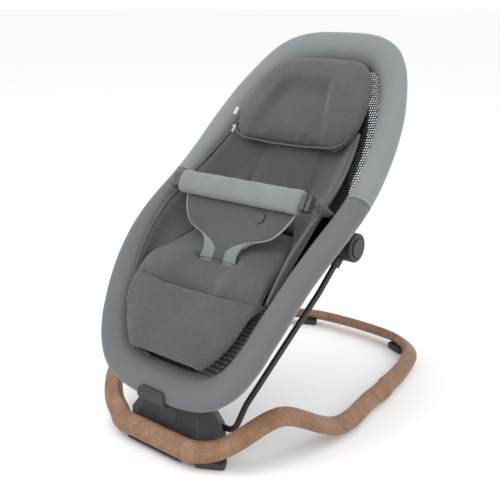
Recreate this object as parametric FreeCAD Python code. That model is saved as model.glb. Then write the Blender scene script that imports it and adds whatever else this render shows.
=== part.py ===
import FreeCAD, Part
import math
import os

# Baby bouncer: a bent-wood floor hoop, a pod with two sprung steel legs, and an oval padded seat.
# Millimetres, +Z up, +X to the sitter's left, +Y towards the head end.
# Everything is drawn with Y = 0 above the front feet, and moved so that the origin is the middle
# of the whole outline on the floor.

os.makedirs("parts", exist_ok=True)

V = FreeCAD.Vector
X_AXIS = V(1, 0, 0)
Y_AXIS = V(0, 1, 0)
Z_AXIS = V(0, 0, 1)
MIRROR_PLANE = V(1, 0, 0)

# ---- driving dimensions ----
middle_y = 259.05                # from the front feet to the middle of the outline

# wooden hoop, centre line of the right half:
# x, y, z, how far the outer face leans in from upright in degrees, and the width of that face
wood_thick = 16.0
seam_gap = 0.4                   # at the joint between the front and the rear piece
front_hoop_stations = [
    (0, -26, 25, 50, 34), (45, -26, 25, 50, 34), (78, -22, 25, 50, 34), (97, -11, 27, 52, 33),
    (112, -5, 34, 54, 32), (134, 11, 50, 56, 31), (154, 37, 69, 58, 30), (167, 67, 75, 60, 30),
    (179, 98, 63, 60, 31), (189, 136, 40, 60, 31), (195, 172, 24, 60, 31), (197, 200, 20, 60, 31),
    (194, 240, 20, 60, 31), (188, 290, 20, 60, 31),
]
seam_station = (182, 345, 20, 60, 31)
rear_hoop_stations = [
    (175, 409, 20, 60, 30), (165, 452, 20, 58, 29), (147, 493, 20, 55, 28), (112, 524, 20, 52, 27),
    (58, 538, 20, 50, 26), (0, 541, 20, 50, 26),
]
dowel_radius = 4.5
dowel_half_length = 30.0

# seat ring: side profile from foot to head, and half width of its centre line along it
ring_side_profile = [(-2, 103), (126, 281), (236, 357), (356, 465), (449, 570)]
ring_half_widths = [(0.02, 108), (0.08, 141), (0.2, 162), (0.34, 173), (0.5, 176), (0.7, 164),
                    (0.86, 133), (0.96, 98)]
# section of the padded cover: fraction, half across, half thick, inward lean in degrees
cover_sections = [(0, 30, 17, 28), (0.2, 26, 17, 28), (0.45, 21, 18, 10), (0.6, 21, 18, 10),
                  (0.8, 27, 17, 25), (1, 28, 17, 25)]
ring_tube_radius = 10.0
cover_gap = 0.2
collar_fraction = 0.505          # where the upper cover meets the lower one
collar_step = 0.0003             # half the gap at that seam, as a fraction

# hinge of the seat on its legs
hub_y = 233.0
hub_z = 293.0
hub_radius = 22.5
hub_inner_x = 148.0
hub_split_x = 164.0
spigot_end_x = 169.0
hub_face_x = 182.0
spigot_radius = 15.0
gear_radius = 11.5
gear_teeth = 18
gear_pocket_radius = gear_radius + 0.4
button_travel = 5.0
button_radius = 14.5
stem_radius = 8.0
web_x = 174.0
web_thick = 2.0
socket_length = 22.0
hub_to_ring = (-30, 40)          # from the hub's axis to the ring's centre line, along Y and Z
tab_half = 9.0
tab_height = 31.0
spring_turns = 3
spring_pitch = 2.0
spring_radius = 8.5
spring_wire = 0.7
running_gap = 0.05

# sprung legs
leg_radius = 4.75
leg_foot_y = 47.0
leg_foot_z = 33.0
leg_route = [(4, leg_foot_y, leg_foot_z), (94, leg_foot_y, leg_foot_z), (100, 68, 70),
             (144, 189, 225), (157, 225.5, 279.5)]
leg_bend_radii = [14, 40, 80]
coupler_half = 30.0
coupler_radius = 7.5
bush_inner_x = 36.0
bush_outer_x = 54.0
bush_half_depth = 8.0
bush_top = 8.0                   # above the leg's axis

# pod
# eight-sided outline: half widths of the front edge, the middle and the back edge,
# y of the front edge, the two side corners and the back edge, and the radius of the corners
pod_low_outline = (66, 95, 58, -4, 14, 28, 68, 8)
pod_top_outline = (48, 60, 40, 14, 24, 33, 52, 6)
pod_base_z = 12.0
pod_lip_z = 26.0
pod_top_z = 74.0
pod_wall = 3.0
floor_z = 5.0
floor_thick = 3.0

# soft seat parts
sling_thick = 3.0
# fraction, half width, depth, rim height
sling_stations = [(0.045, 58, 8, -14), (0.09, 92, 26, -14), (0.18, 124, 44, -14), (0.3, 142, 56, -12),
                  (0.45, 150, 62, -8), (0.6, 144, 58, -8), (0.75, 128, 50, -12), (0.88, 88, 32, -14),
                  (0.94, 56, 12, -14)]
# fraction, half width, top, bottom
foot_flap_stations = [(0.027, 72, 17, 5), (0.057, 101, 17, 2), (0.1, 118, 14, -2), (0.148, 127, 8, -12)]
seat_pad_stations = [(0.152, 125, 10, -10), (0.18, 124, 6, -16), (0.225, 120, -6, -26), (0.27, 112, -16, -36),
                     (0.34, 104, -26, -48), (0.405, 96, -34, -58)]
back_pad_stations = [
    (0.41, 98, -34, -58),
    (0.5, 100, -30, -56),
    (0.56, 103, -26, -54),
    (0.62, 104, -17, -46),
    (0.69, 100, -9, -38),
    (0.8, 84, -8, -32),
    (0.88, 60, -8, -24),
]
headrest_stations = [
    (0.64, 100, 20, -5),
    (0.68, 119, 33, -3),
    (0.77, 120, 42, -2),
    (0.86, 104, 42, -2),
    (0.915, 76, 32, 2),
]
# fraction, centre x, half width, top, bottom
bolster_stations = [(0.2, 132, 5, 8, -6), (0.27, 129, 9, 10, -12), (0.36, 123, 15, 10, -22),
                    (0.46, 120, 16, 7, -24), (0.56, 121, 11, -2, -22), (0.62, 118, 8, -8, -22)]

clip_half = 27.0
clip_gap = 1.5
clip_thick = 4.0
tag_places = [(314, 466), (306, 436)]
tag_width = 7.0
tag_outer_x = -129.0

# harness
waist_y = 173.0
waist_z = 365.0
waist_half_length = 123.0
waist_height = 38.0
waist_depth = 24.0
crotch_y = 112.0
crotch_z = 250.0
crotch_half_width = 36.0
panel_start = 18.0
panel_thick = 5.0
strap_depth = 26.0
badge_x = 51.0
side_strap_end = (148, 203, 344)

# rubber feet, and the lock button in the pod's front
foot_height = 11.5
lock_height = 0.42               # where the lock button sits on the pod's front slope
lock_half_x = 17.0
lock_half_slope = 12.0
lock_round = 6.0


# ---- helpers ----

def save(name, shape):
    """Move the shape to the object's own origin and write it as one node."""
    moved = shape.copy()
    moved.translate(V(0, -middle_y, 0))
    moved.exportStep("parts/" + name + ".step")
    print(f"{name:24s} solids {len(moved.Solids):2d} valid {moved.isValid()} cm3 {moved.Volume / 1000:8.2f}")


def mirrored(shape):
    return shape.mirror(V(0, 0, 0), MIRROR_PLANE)


def save_pair(name, right_shape):
    """Write a part of the right side, and its mirror image on the left."""
    save(name + "_right", right_shape)
    save(name + "_left", mirrored(right_shape))


def cylinder_x(x0, x1, y, z, radius):
    return Part.makeCylinder(radius, x1 - x0, V(x0, y, z), X_AXIS)


def cylinder_z(x, y, z0, z1, radius):
    return Part.makeCylinder(radius, z1 - z0, V(x, y, z0), Z_AXIS)


def box(x0, x1, y0, y1, z0, z1):
    return Part.makeBox(x1 - x0, y1 - y0, z1 - z0, V(x0, y0, z0))


def spline(points, closed=False):
    curve = Part.BSplineCurve()
    curve.interpolate(Points=[V(p) for p in points], PeriodicFlag=closed)
    return curve


def rounded_path(points, radii):
    """Straight runs through the points, joined by tangent arcs of the given radii."""
    points = [V(*p) for p in points]
    edges = []
    start = points[0]
    for before, corner, after, radius in zip(points, points[1:], points[2:], radii):
        back = (before - corner).normalize()
        on = (after - corner).normalize()
        half_angle = back.getAngle(on) / 2
        reach = radius / math.tan(half_angle)
        middle = (back + on).normalize()
        arc_middle = corner + middle * (radius / math.sin(half_angle) - radius)
        arc_start = corner + back * reach
        arc_end = corner + on * reach
        edges.append(Part.makeLine(start, arc_start))
        edges.append(Part.Arc(arc_start, arc_middle, arc_end).toShape())
        start = arc_end
    edges.append(Part.makeLine(start, points[-1]))
    return Part.Wire(edges)


def rod(path, radius):
    """A round bar along a wire."""
    first = path.Edges[0]
    start = first.valueAt(first.FirstParameter)
    along = first.tangentAt(first.FirstParameter)
    section = Part.Wire(Part.Circle(start, along, radius).toShape())
    return path.makePipeShell([section], True, False)


def loft(sections):
    return Part.makeLoft(sections, True, False)


# ---- the seat's own coordinates: fraction along the side profile, x across, h above it ----

profile_curve = Part.BSplineCurve()
profile_curve.interpolate(Points=[V(0, y, z) for y, z in ring_side_profile],
                          Parameters=[0, 0.25, 0.5, 0.75, 1])


def seat_point(fraction, x=0.0, h=0.0):
    """The point at x across and h above the ring's centre surface."""
    along = profile_curve.tangent(fraction)[0]
    up = V(0, -along.z, along.y)
    return profile_curve.value(fraction) + X_AXIS * x + up * h


def pad_section(fraction, half_width, top, bottom, centre_x=0.0, squareness=0.55):
    """A rounded closed outline across the seat."""
    points = []
    steps = 16
    for k in range(steps):
        angle = 2 * math.pi * (k + 0.5) / steps
        c = math.cos(angle)
        s = math.sin(angle)
        x = centre_x + half_width * math.copysign(abs(c) ** squareness, c)
        h = (top + bottom) / 2 + (top - bottom) / 2 * math.copysign(abs(s) ** squareness, s)
        points.append(seat_point(fraction, x, h))
    return Part.Wire(spline(points, closed=True).toShape())


def pad(stations, centres=None):
    """A soft slab lofted through (fraction, half width, top, bottom) stations."""
    centres = centres or [0.0] * len(stations)
    return loft([pad_section(*station, centre_x=x) for station, x in zip(stations, centres)])


# ---- wooden hoop ----

def superellipse_wire(centre, across, half_across, through, half_through, squareness):
    """A closed rounded outline with flattened sides."""
    points = []
    steps = 20
    for k in range(steps):
        angle = 2 * math.pi * (k + 0.5) / steps
        c = math.cos(angle)
        s = math.sin(angle)
        w = half_across * math.copysign(abs(c) ** squareness, c)
        t = half_through * math.copysign(abs(s) ** squareness, s)
        points.append(centre + across * w + through * t)
    return Part.Wire(spline(points, closed=True).toShape())


def wood_section(before, here, after):
    """The rounded outline of the bent-wood strip at one station of its centre line."""
    along = (V(*after[:3]) - V(*before[:3])).normalize()
    outward = along.cross(Z_AXIS).normalize()
    lean = math.radians(here[3])
    face = outward * -math.sin(lean) + Z_AXIS * math.cos(lean)
    face = (face - along * face.dot(along)).normalize()
    through = along.cross(face).normalize()
    return superellipse_wire(V(*here[:3]), face, here[4] / 2 - 0.8, through, wood_thick / 2, 0.48)


right_half = front_hoop_stations + [seam_station] + rear_hoop_stations
left_half = [(-s[0],) + s[1:] for s in right_half[1:-1]]
hoop_loop = right_half + left_half[::-1]
hoop_sections = []
for index, station in enumerate(hoop_loop):
    before = hoop_loop[index - 1]
    after = hoop_loop[(index + 1) % len(hoop_loop)]
    hoop_sections.append(wood_section(before, station, after))

seam_index = len(front_hoop_stations)
left_seam_index = len(hoop_loop) - seam_index
ahead_of_seam = box(-300, 300, -100, seam_station[1] - seam_gap / 2, -10, 200)
behind_seam = box(-300, 300, seam_station[1] + seam_gap / 2, 700, -10, 200)
front_hoop = loft(hoop_sections[left_seam_index - 1:] + hoop_sections[:seam_index + 2])
front_hoop = front_hoop.common(ahead_of_seam)
rear_hoop = loft(hoop_sections[seam_index - 1:left_seam_index + 2]).common(behind_seam)

seam_centre = V(*seam_station[:3])
seam_along = (V(*rear_hoop_stations[0][:3]) - V(*front_hoop_stations[-1][:3])).normalize()


def dowel(radius, half_length):
    return Part.makeCylinder(radius, 2 * half_length, seam_centre - seam_along * half_length, seam_along)


dowel_hole = dowel(dowel_radius + running_gap, dowel_half_length + 1)
for hole in (dowel_hole, mirrored(dowel_hole)):
    front_hoop = front_hoop.cut(hole)
    rear_hoop = rear_hoop.cut(hole)
save_pair("hoop_dowel", dowel(dowel_radius, dowel_half_length))


# ---- rubber feet, each with one screw into the wood ----

def foot_block(x, y, half_x, half_y, turn):
    """A low block with round corners, turned about the vertical."""
    block = box(-half_x, half_x, -half_y, half_y, 0, foot_height)
    block = block.makeFillet(4, [e for e in block.Edges if abs(e.tangentAt(e.FirstParameter).z) > 0.9])
    block = block.makeChamfer(2, [e for e in block.Edges if e.BoundBox.ZMax < 0.1])
    block.rotate(V(0, 0, 0), Z_AXIS, turn)
    block.translate(V(x, y, 0))
    return block


def foot(x, y, half_x, half_y, turn):
    """A rubber pad whose top fits the underside of the wood."""
    cut = foot_block(x, y, half_x, half_y, turn).cut([front_hoop, rear_hoop])
    return min(cut.Solids, key=lambda solid: solid.BoundBox.ZMin)


front_foot_at = (95, -6)
rear_foot_at = (106, 522)
front_foot = foot(*front_foot_at, 22, 11, 30)
rear_foot = foot(*rear_foot_at, 18, 10, -24)


def foot_screw(x, y, top):
    """Screw from a pocket in the foot's sole up into the wood."""
    shank = cylinder_z(x, y, 4.0, top, 2.0)
    head = cylinder_z(x, y, 2.5, 4.5, 4.0)
    return shank.fuse(head)


front_screw = foot_screw(*front_foot_at, 22)
rear_screw = foot_screw(*rear_foot_at, 20)


# ---- seat ring: a steel tube in two bent halves, inside a padded fabric cover in two parts ----

def ring_curve(starts_at_head):
    """The ring's closed centre line, with its ends at the head or at the foot."""
    right = [seat_point(f, w) for f, w in ring_half_widths]
    left = [seat_point(f, -w) for f, w in reversed(ring_half_widths)]
    if starts_at_head:
        return spline([seat_point(1)] + left + [seat_point(0)] + right, closed=True)
    return spline([seat_point(0)] + right + [seat_point(1)] + left, closed=True)


def ring_parameter(curve, fraction, side):
    """Where the ring's centre line crosses a fraction of the side profile, on one side."""
    wanted = seat_point(fraction)
    across = profile_curve.tangent(fraction)[0]
    foot = curve.parameter(seat_point(0) + X_AXIS * side)
    head = curve.parameter(seat_point(1) + X_AXIS * side)
    for _ in range(40):
        middle = (foot + head) / 2
        if (curve.value(middle) - wanted).dot(across) < 0:
            foot = middle
        else:
            head = middle
    return middle


def ring_path(curve, fraction):
    ends = sorted(ring_parameter(curve, fraction, side) for side in (1, -1))
    return ends, Part.Wire(curve.toShape(*ends))


def blended(table, fraction):
    """Values between the rows of a table whose first column is the fraction."""
    for low, high in zip(table, table[1:]):
        if fraction <= high[0]:
            share = (fraction - low[0]) / (high[0] - low[0])
            return [a + (b - a) * share for a, b in zip(low[1:], high[1:])]
    return table[-1][1:]


def cover_section(curve, parameter, fraction):
    """The padded cover's oval outline across the ring."""
    half_across, half_thick, lean = blended(cover_sections, fraction)
    centre = curve.value(parameter)
    along = curve.tangent(parameter)[0]
    slope = profile_curve.tangent(fraction)[0]
    up = V(0, -slope.z, slope.y)
    outward = along.cross(up).normalize()
    if outward.dot(centre - seat_point(0.5)) < 0:
        outward = outward * -1
    up = along.cross(outward).normalize()
    if up.z < 0:
        up = up * -1
    angle = math.radians(lean)
    major = outward * math.cos(angle) + up * math.sin(angle)
    minor = up * math.cos(angle) - outward * math.sin(angle)
    return superellipse_wire(centre, major, half_across, minor, half_thick, 1.0)


cover_fractions = {
    "upper": [0.56, 0.63, 0.7, 0.77, 0.84, 0.89, 0.93, 0.96, 0.98, 0.995],
    "lower": [0.45, 0.4, 0.34, 0.27, 0.2, 0.14, 0.09, 0.055, 0.03, 0.012],
}


def ring_cover(upper, edge_fraction):
    """The padded fabric cover round the upper or the lower stretch of the ring."""
    curve = ring_curve(starts_at_head=not upper)
    inner = cover_fractions["upper" if upper else "lower"]
    end_fraction = 1 if upper else 0
    fractions = [edge_fraction] + inner
    sections = [cover_section(curve, ring_parameter(curve, f, 1), f) for f in fractions]
    sections.append(cover_section(curve, curve.parameter(seat_point(end_fraction)), end_fraction))
    sections += [cover_section(curve, ring_parameter(curve, f, -1), f) for f in reversed(fractions)]
    solid = loft(sections)
    path = ring_path(curve, edge_fraction)[1]
    return solid.cut(rod(path, ring_tube_radius + cover_gap))


for piece, is_upper in (("upper", True), ("lower", False)):
    joint_fraction = collar_fraction + (collar_step if is_upper else -collar_step)
    tube_path = ring_path(ring_curve(starts_at_head=not is_upper), joint_fraction)[1]
    save("seat_tube_" + piece, rod(tube_path, ring_tube_radius))
    save("ring_cover_" + piece, ring_cover(is_upper, joint_fraction))


# ---- pod: moulded cover, floor plate, lock button, and the bushes that hold the sprung legs ----

def rounded_plate(corners, radius, z, thick):
    """A flat plate with round corners."""
    points = [V(x, y, z) for x, y in corners]
    block = Part.Face(Part.makePolygon(points + [points[0]])).extrude(V(0, 0, thick))
    return block.makeFillet(radius, [e for e in block.Edges if abs(e.tangentAt(e.FirstParameter).z) > 0.9])


def pod_plate(outline, inset, z, thick=1.0):
    front_half, half, back_half, front_y, corner_y, side_y, back_y, radius = outline
    right = [(front_half - inset / 4, front_y + inset), (half - inset, corner_y + inset / 2),
             (half - inset, side_y - inset / 4), (back_half - inset / 2, back_y - inset)]
    left = [(-x, y) for x, y in reversed(right)]
    return rounded_plate(right + left, radius - inset, z, thick)


def pod_outline(outline, inset, z):
    bottom = min(pod_plate(outline, inset, z).Faces, key=lambda face: face.CenterOfMass.z)
    return bottom.OuterWire


def pod_shape(inset, base_z):
    """The outer pod, or its hollow when inset by the wall."""
    low = pod_outline(pod_low_outline, inset, base_z)
    lip = pod_outline(pod_low_outline, inset, pod_lip_z)
    top = pod_outline(pod_top_outline, inset, pod_top_z - inset)
    prism = Part.makeLoft([low, lip], True, True)
    slope = Part.makeLoft([lip, top], True, True)
    return prism.fuse(slope).removeSplitter()


def slot_shape(half_x, half_slope, radius, low, high):
    """A rounded tablet standing on the pod's front slope, between two depths along its normal."""
    rise = pod_top_z - pod_lip_z
    run = pod_top_outline[3] - pod_low_outline[3]
    tablet = box(-half_x, half_x, -half_slope, half_slope, low, high)
    tablet = tablet.makeFillet(radius, [e for e in tablet.Edges if abs(e.tangentAt(e.FirstParameter).z) > 0.9])
    tablet.rotate(V(0, 0, 0), X_AXIS, math.degrees(math.atan2(rise, run)))
    tablet.translate(V(0, pod_low_outline[3] + run * lock_height, pod_lip_z + rise * lock_height))
    return tablet


pod_outer = pod_shape(0, pod_base_z)
pod_hollow = pod_shape(pod_wall, pod_base_z - 1)
pod_cover = pod_outer.cut(pod_hollow)

# a screw boss at each corner of the pod
boss_places = [(-64, 9), (64, 9), (-70, 32), (70, 32)]
for x, y in boss_places:
    boss = cylinder_z(x, y, floor_z + floor_thick + 6, pod_lip_z + 30, 5.0).common(pod_outer)
    pod_cover = pod_cover.fuse(boss)
    pod_cover = pod_cover.cut(cylinder_z(x, y, 0, pod_lip_z + 8, 1.6))

# round holes in both sides where the legs pass, and the opening for the lock button
leg_hole_radius = leg_radius + 1.2
pod_cover = pod_cover.cut(cylinder_x(-pod_low_outline[1], pod_low_outline[1], leg_foot_y, leg_foot_z, leg_hole_radius))
pod_cover = pod_cover.cut(slot_shape(lock_half_x + 0.4, lock_half_slope + 0.4, lock_round + 0.4, -8, 8))
save("pod_cover", pod_cover)

lock_button = slot_shape(lock_half_x, lock_half_slope, lock_round, -4.0, 0.6)
lock_stem = slot_shape(4.0, 4.0, 2.0, -12.0, -4.0)
save("bounce_lock_button", lock_button.fuse(lock_stem))

# floor plate under the pod, reaching forward under the wood
floor_lip = rounded_plate([(-58, -34), (58, -34), (58, 40), (-58, 40)], 8, floor_z, floor_thick)
pod_floor = pod_plate(pod_low_outline, 4, floor_z, floor_thick).fuse(floor_lip)
for pad_block in (foot_block(*front_foot_at, 23.5, 12.5, 30), foot_block(-95, -6, 23.5, 12.5, -30)):
    pod_floor = pod_floor.cut(pad_block)
pod_floor = pod_floor.removeSplitter()


def bush(x0, x1):
    """A plastic block on the floor plate, bored for the leg wire."""
    block = box(x0, x1, leg_foot_y - bush_half_depth, leg_foot_y + bush_half_depth,
                floor_z + floor_thick, leg_foot_z + bush_top)
    block = block.makeFillet(5, [e for e in block.Edges
                                 if abs(e.tangentAt(e.FirstParameter).x) > 0.9 and e.BoundBox.ZMin > 30])
    return block.cut(cylinder_x(x0 - 1, x1 + 1, leg_foot_y, leg_foot_z, leg_radius + running_gap))


save_pair("leg_bush", bush(bush_inner_x, bush_outer_x))
for x, y in boss_places:
    pod_floor = pod_floor.cut(cylinder_z(x, y, 0, 20, 2.2))
wood_screw_places = [(-46, -27), (46, -27)]
for x, y in wood_screw_places:
    pod_floor = pod_floor.cut(cylinder_z(x, y, 0, 20, 2.2))
save("pod_floor", pod_floor)


def screw_up(x, y, top, radius=1.5):
    """A pan-head screw driven upwards through the floor plate."""
    head = cylinder_z(x, y, floor_z - 2.2, floor_z, 3.6)
    return head.fuse(cylinder_z(x, y, floor_z, top, radius))


pod_screws = [screw_up(x, y, pod_lip_z + 6) for x, y in boss_places]
save("pod_screws", Part.makeCompound(pod_screws))
hoop_screws = [screw_up(x, y, 22, 2.0) for x, y in wood_screw_places]
hoop_screws += [front_screw, mirrored(front_screw), rear_screw, mirrored(rear_screw)]
screw_holes = [s.common(box(-300, 300, -100, 700, 5, 100)) for s in hoop_screws]
front_hoop = front_hoop.cut(screw_holes)
rear_hoop = rear_hoop.cut(screw_holes)
save("base_front_hoop", front_hoop)
save("base_rear_hoop", rear_hoop)
save("wood_screws", Part.makeCompound(hoop_screws))
save_pair("foot_front", front_foot.cut(front_screw))
save_pair("foot_rear", rear_foot.cut(rear_screw))


# ---- sprung legs ----

leg_path = rounded_path(leg_route, leg_bend_radii)
leg = rod(leg_path, leg_radius)
save_pair("leg_wire", leg)

# sleeve that joins both legs inside the pod, on the axis they turn on
coupler = cylinder_x(-coupler_half, coupler_half, leg_foot_y, leg_foot_z, coupler_radius)
coupler = coupler.cut(cylinder_x(-coupler_half - 1, coupler_half + 1, leg_foot_y, leg_foot_z,
                                 leg_radius + running_gap))
save("leg_coupler", coupler)


# ---- hubs: the inner half is fixed to the leg, the outer half to the seat ----

def hub_cylinder(x0, x1, radius):
    return cylinder_x(x0, x1, hub_y, hub_z, radius)


def gear(x0, x1, radius, teeth):
    """A toothed disc about the hub's axis."""
    points = []
    for k in range(teeth):
        for offset, r in ((-0.32, 0.88), (-0.14, 1.0), (0.14, 1.0), (0.32, 0.88)):
            angle = 2 * math.pi * (k + offset) / teeth
            points.append(V(x0, hub_y + radius * r * math.cos(angle), hub_z + radius * r * math.sin(angle)))
    face = Part.Face(Part.makePolygon(points + [points[0]]))
    return face.extrude(V(x1 - x0, 0, 0))


leg_top = V(*leg_route[-1])
leg_top_along = (leg_top - V(*leg_route[-2])).normalize()
socket = Part.makeCylinder(leg_radius + 3.2, socket_length, leg_top - leg_top_along * (socket_length - 2),
                           leg_top_along).common(box(0, hub_split_x, 0, 400, 0, 400))
leg_bore = Part.makeCylinder(leg_radius + running_gap, 80, leg_top - leg_top_along * 80, leg_top_along)
hub_inner = hub_cylinder(hub_inner_x, hub_split_x, hub_radius)
hub_inner = hub_inner.makeFillet(2, [e for e in hub_inner.Edges if e.BoundBox.XMax < hub_inner_x + 0.1])
hub_inner = hub_inner.fuse(hub_cylinder(hub_split_x - 1, spigot_end_x, spigot_radius)).fuse(socket)
hub_inner = hub_inner.cut(hub_cylinder(hub_inner_x + 3, spigot_end_x + 1, gear_pocket_radius))
hub_inner = hub_inner.cut(leg_bore)
save_pair("hub_inner", hub_inner.removeSplitter())

# the tab that carries the seat ring stands along the seat's own normal
ring_lean = math.degrees(math.atan2(-hub_to_ring[0], hub_to_ring[1]))
tab = box(hub_split_x + 4, hub_face_x - 3, -tab_half, tab_half, 0, tab_height)
tab = tab.makeFillet(3, [e for e in tab.Edges if abs(e.tangentAt(e.FirstParameter).z) > 0.9])
tab.rotate(V(0, 0, 0), X_AXIS, ring_lean)
tab.translate(V(0, hub_y, hub_z))
hub_outer = hub_cylinder(hub_split_x + 0.4, hub_face_x, hub_radius)
hub_outer = hub_outer.makeFillet(2.5, [e for e in hub_outer.Edges if e.BoundBox.XMin > hub_face_x - 0.1])
hub_outer = hub_outer.fuse(tab)
hub_outer = hub_outer.cut(hub_cylinder(hub_split_x, spigot_end_x + 0.4, spigot_radius + running_gap))
hub_outer = hub_outer.cut(hub_cylinder(spigot_end_x, web_x, gear_pocket_radius))
hub_outer = hub_outer.cut(hub_cylinder(web_x - 1, hub_face_x + 1, stem_radius + 0.3))
hub_outer = hub_outer.cut(hub_cylinder(web_x + web_thick, hub_face_x + 1, button_radius + 0.4))
save_pair("hub_outer", hub_outer.removeSplitter())

hub_screw = cylinder_z((hub_split_x + hub_face_x + 1) / 2, 0, tab_height - 12, tab_height + 15, 2.0)
hub_screw.rotate(V(0, 0, 0), X_AXIS, ring_lean)
hub_screw.translate(V(0, hub_y, hub_z))
save("hub_screws", Part.makeCompound([hub_screw, mirrored(hub_screw)]))

button_cap = hub_cylinder(hub_face_x - 0.8, hub_face_x + 2.0, button_radius)
button_cap = button_cap.makeFillet(0.9, [e for e in button_cap.Edges if e.BoundBox.XMin > hub_face_x + 1.9])
button = button_cap.fuse(hub_cylinder(web_x - 0.4, hub_face_x - 0.8, stem_radius))
save_pair("recline_button", button.removeSplitter())
gear_start_x = spigot_end_x - button_travel + 0.5
save_pair("lock_gear", gear(gear_start_x, web_x - 0.5, gear_radius, gear_teeth))

spring_length = spring_turns * spring_pitch
spring_start_x = gear_start_x - spring_length - 1.2
spring_points = []
for k in range(12 * spring_turns + 1):
    angle = 2 * math.pi * k / 12
    spring_points.append(V(spring_start_x + spring_pitch * k / 12,
                           hub_y + spring_radius * math.cos(angle), hub_z + spring_radius * math.sin(angle)))
spring = rod(Part.Wire(spline(spring_points).toShape()), spring_wire)
save_pair("button_spring", spring)


# ---- seat: sling, padded insert, clip and tags ----

def dish_height(x, half_width, depth, rim):
    """Height of the sling across the seat: flat in the middle, rising to the rim."""
    return rim - depth * (1 - abs(x / half_width) ** 4)


def sling_section(fraction, half_width, depth, rim):
    steps = 12
    across = [half_width * (2 * k / steps - 1) for k in range(steps + 1)]
    top = [seat_point(fraction, x, dish_height(x, half_width, depth, rim)) for x in across]
    low = [seat_point(fraction, x, dish_height(x, half_width, depth, rim) - sling_thick) for x in across]
    edges = [spline(top).toShape(), Part.makeLine(top[-1], low[-1]),
             spline(low[::-1]).toShape(), Part.makeLine(low[0], top[0])]
    return Part.Wire(edges)


save("seat_sling", loft([sling_section(*station) for station in sling_stations]))

seat_pad = pad(seat_pad_stations)
crotch_fraction_point = V(0, crotch_y, crotch_z)
strap_slope = (V(0, waist_y, waist_z - waist_height / 2) - crotch_fraction_point).normalize()
panel_tilt = math.degrees(math.atan2(strap_slope.z, strap_slope.y))


def on_panel(shape):
    """Move a shape drawn flat on X-Y, with Y up the harness panel, to its place."""
    moved = shape.copy()
    moved.rotate(V(0, 0, 0), X_AXIS, panel_tilt)
    moved.translate(crotch_fraction_point)
    return moved


slot = on_panel(box(-crotch_half_width - 4, crotch_half_width + 4, -60, 40, -6, 6))
save("seat_pad", seat_pad.cut(slot))
save("foot_flap", pad(foot_flap_stations))
save("back_pad", pad(back_pad_stations))
save("headrest_pillow", pad(headrest_stations))
save_pair("side_bolster", pad([s[:1] + s[2:] for s in bolster_stations], [s[1] for s in bolster_stations]))

# ---- harness ----
panel_length = (V(0, waist_y, waist_z - waist_height / 2) - crotch_fraction_point).Length
right_edge = [(crotch_half_width, panel_start), (crotch_half_width - 2, 30), (46, 52), (78, 66),
              (waist_half_length - 22, panel_length - 22), (waist_half_length - 14, panel_length - 1)]
right_curve = spline([(x, y, 0) for x, y in right_edge]).toShape()
left_curve = right_curve.mirror(V(0, 0, 0), MIRROR_PLANE)
outline = Part.Wire(Part.__sortEdges__([
    right_curve, left_curve,
    Part.makeLine(V(-crotch_half_width, panel_start, 0), V(crotch_half_width, panel_start, 0)),
    Part.makeLine(V(-right_edge[-1][0], right_edge[-1][1], 0), V(right_edge[-1][0], right_edge[-1][1], 0))]))
panel = Part.Face(outline).extrude(V(0, 0, panel_thick))
panel.translate(V(0, 0, -panel_thick / 2))
save("harness_panel", on_panel(panel))
strap = box(-crotch_half_width, crotch_half_width, -strap_depth, panel_start - 0.4, -2.5, 2.5)
save("crotch_strap", on_panel(strap))
badge = Part.makeCylinder(9, 3.0, V(badge_x, panel_length - 18, panel_thick / 2 + 0.1), Z_AXIS)
save("badge_button", on_panel(badge))

tube_section = superellipse_wire(V(-waist_half_length, waist_y, waist_z), Z_AXIS, waist_height / 2,
                                 Y_AXIS, waist_depth / 2, 0.85)
waist_tube = Part.Face(tube_section).extrude(V(2 * waist_half_length, 0, 0))
waist_tube.rotate(V(0, waist_y, waist_z), X_AXIS, panel_tilt - 90)
save("waist_tube", waist_tube)


def buckle(x0, x1, half_height, half_depth):
    shell = box(x0, x1, -half_depth, half_depth, -half_height, half_height)
    shell = shell.makeFillet(2.5, [e for e in shell.Edges if abs(e.tangentAt(e.FirstParameter).x) > 0.9])
    shell.rotate(V(0, 0, 0), X_AXIS, panel_tilt - 90)
    shell.translate(V(0, waist_y, waist_z))
    return shell


buckle_x = waist_half_length + 0.5
save_pair("buckle_tongue", buckle(buckle_x, buckle_x + 7, 13, 8))
save_pair("strap_buckle", buckle(buckle_x + 7.5, buckle_x + 15, 13, 6))

strap_start = V(buckle_x + 20.5, waist_y + 9, waist_z - 1)
strap_end = V(*side_strap_end)
run = strap_end - strap_start
side = run.cross(V(0, -1, 1)).normalize()
wide = side.cross(run).normalize()
corner_a = strap_start - wide * 11
corner_b = strap_start + wide * 11
ribbon = Part.Face(Part.makePolygon([corner_a, corner_b, corner_b + run, corner_a + run, corner_a]))
save_pair("side_strap", ribbon.extrude(side * 1.6))

# ---- clip at the foot of the ring, and the two sewn tags by the headrest ----

def foot_slice(extra):
    """The ring cover's section at the foot, grown by a margin, as a bar across the clip's width."""
    half_across, half_thick, lean = cover_sections[0][1:]
    slope = profile_curve.tangent(0)[0]
    up = V(0, -slope.z, slope.y)
    angle = math.radians(lean)
    major = up * math.sin(angle) - slope * math.cos(angle)
    minor = up * math.cos(angle) + slope * math.sin(angle)
    centre = seat_point(0, -clip_half)
    oval = superellipse_wire(centre, major, half_across + extra, minor, half_thick + extra, 1.0)
    return Part.Face(oval).extrude(V(2 * clip_half, 0, 0))


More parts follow.
